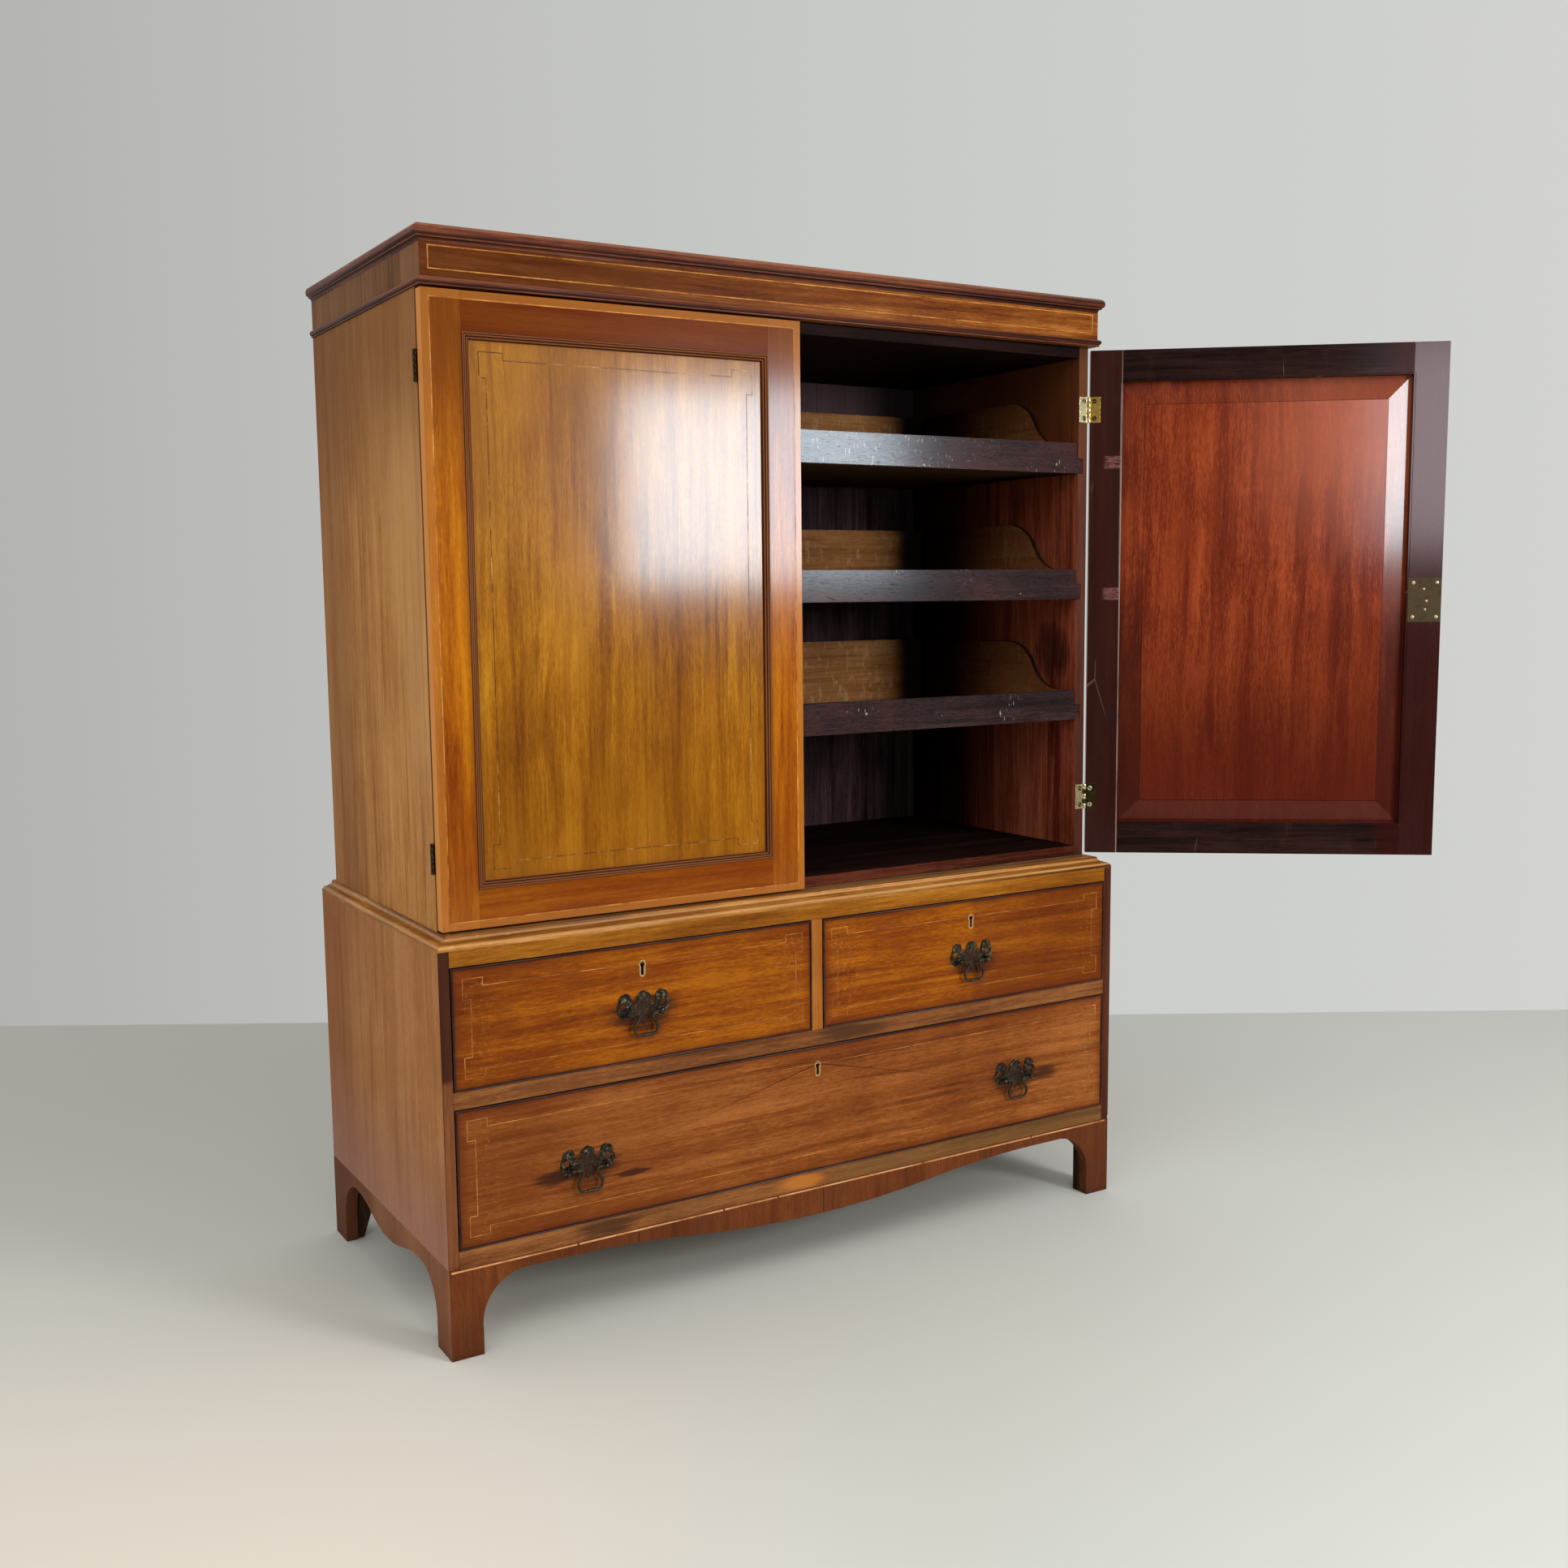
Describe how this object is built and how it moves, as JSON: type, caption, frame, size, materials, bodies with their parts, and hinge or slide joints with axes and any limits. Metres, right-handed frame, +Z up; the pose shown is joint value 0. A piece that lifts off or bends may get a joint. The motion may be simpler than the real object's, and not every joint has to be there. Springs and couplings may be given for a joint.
{
  "type": "linen press",
  "caption": "Linen press: a cupboard with panelled doors and sliding linen trays, standing on a chest of drawers with shaped bracket feet.",
  "frame": {"origin": "on the floor, mid-width and mid-depth of the chest that the press stands on", "axes": "+X to the right seen from the front, +Y to the back, +Z up"},
  "size_m": [1.7525, 0.907, 1.613],
  "materials": {
    "mahogany": "polished",
    "mahogany_side": "worn polish",
    "mahogany_dark": "dull polish",
    "ebonised": "satin",
    "oak": "unpolished",
    "pine": "unpolished",
    "brass": "polished",
    "dark_bronze": "worn patina"
  },
  "bodies": {
    "press": {"astragal": "mahogany_dark", "carcase_hinges": "brass", "chest_back_boards": "pine", "chest_floor_boards": "pine", "chest_side_left": "mahogany_side", "chest_side_right": "mahogany_side", "chest_top_board": "pine", "cornice": "mahogany_dark", "cornice_dust_board": "pine", "cupboard_back_boards": "pine", "cupboard_floor": "mahogany", "cupboard_side_left": "mahogany_side", "cupboard_side_right": "mahogany_side", "cupboard_top": "pine", "drawer_bearers": "pine", "drawer_rails": "mahogany", "foot_blocks": "pine", "frieze": "mahogany", "front_bracket_board": "mahogany", "lower_tray_box": "oak", "lower_tray_front": "mahogany_dark", "middle_tray_box": "oak", "middle_tray_front": "mahogany_dark", "muntin": "mahogany", "rear_brackets": "pine", "side_brackets": "mahogany_side", "upper_tray_box": "oak", "upper_tray_front": "mahogany_dark", "waist_moulding": "mahogany_dark"},
    "left_door": {"left_door_stiles": "mahogany", "left_door_rails": "mahogany", "left_door_panel": "mahogany", "left_door_beading": "ebonised", "left_door_hinge_leaves": "brass"},
    "right_door": {"right_door_stiles": "mahogany", "right_door_rails": "mahogany", "right_door_panel": "mahogany", "right_door_beading": "ebonised", "right_door_hinge_leaves": "brass", "right_door_lock": "brass"},
    "right_door_lock_bolt": {"right_door_lock_bolt": "brass"},
    "left_drawer": {"left_drawer_front": "mahogany", "left_drawer_cockbead": "ebonised", "left_drawer_box": "oak", "left_drawer_fittings": "dark_bronze"},
    "left_drawer_bolt": {"left_drawer_bolt": "brass"},
    "right_drawer": {"right_drawer_front": "mahogany", "right_drawer_cockbead": "ebonised", "right_drawer_box": "oak", "right_drawer_fittings": "dark_bronze"},
    "right_drawer_bolt": {"right_drawer_bolt": "brass"},
    "long_drawer": {"long_drawer_front": "mahogany", "long_drawer_cockbead": "ebonised", "long_drawer_box": "oak", "long_drawer_fittings": "dark_bronze"},
    "long_drawer_bolt": {"long_drawer_bolt": "brass"},
    "left_drawer_bail": {"left_drawer_bail": "dark_bronze"},
    "right_drawer_bail": {"right_drawer_bail": "dark_bronze"},
    "long_drawer_left_bail": {"long_drawer_left_bail": "dark_bronze"},
    "long_drawer_right_bail": {"long_drawer_right_bail": "dark_bronze"}
  },
  "joints": [
    {"name": "left_door_hinge", "type": "hinge", "parent": "press", "child": "left_door", "pos_m": [-0.618, -0.2365, 1.07845], "axis": [0, 0, -1], "range_deg": [0, 172]},
    {"name": "right_door_hinge", "type": "hinge", "parent": "press", "child": "right_door", "pos_m": [0.618, -0.2365, 1.07845], "axis": [0, 0, 1], "range_deg": [-142, 30]},
    {"name": "right_door_lock", "type": "slide", "parent": "right_door", "child": "right_door_lock_bolt", "axis": [0.788, -0.6157, 0], "range_m": [0, 0.011]},
    {"name": "left_drawer_slide", "type": "slide", "parent": "press", "child": "left_drawer", "axis": [0, -1, 0], "range_m": [0, 0.4]},
    {"name": "left_drawer_lock", "type": "slide", "parent": "left_drawer", "child": "left_drawer_bolt", "axis": [0, 0, 1], "range_m": [0, 0.008]},
    {"name": "right_drawer_slide", "type": "slide", "parent": "press", "child": "right_drawer", "axis": [0, -1, 0], "range_m": [0, 0.4]},
    {"name": "right_drawer_lock", "type": "slide", "parent": "right_drawer", "child": "right_drawer_bolt", "axis": [0, 0, 1], "range_m": [0, 0.008]},
    {"name": "long_drawer_slide", "type": "slide", "parent": "press", "child": "long_drawer", "axis": [0, -1, 0], "range_m": [0, 0.4]},
    {"name": "long_drawer_lock", "type": "slide", "parent": "long_drawer", "child": "long_drawer_bolt", "axis": [0, 0, 1], "range_m": [0, 0.008]},
    {"name": "left_drawer_bail_pivot", "type": "hinge", "parent": "left_drawer", "child": "left_drawer_bail", "pos_m": [-0.3145, -0.3015, 0.477], "axis": [-1, 0, 0], "range_deg": [0, 80]},
    {"name": "right_drawer_bail_pivot", "type": "hinge", "parent": "right_drawer", "child": "right_drawer_bail", "pos_m": [0.3145, -0.3015, 0.477], "axis": [-1, 0, 0], "range_deg": [0, 80]},
    {"name": "long_drawer_left_bail_pivot", "type": "hinge", "parent": "long_drawer", "child": "long_drawer_left_bail", "pos_m": [-0.413, -0.3015, 0.2515], "axis": [-1, 0, 0], "range_deg": [0, 80]},
    {"name": "long_drawer_right_bail_pivot", "type": "hinge", "parent": "long_drawer", "child": "long_drawer_right_bail", "pos_m": [0.413, -0.3015, 0.2515], "axis": [-1, 0, 0], "range_deg": [0, 80]}
  ]
}
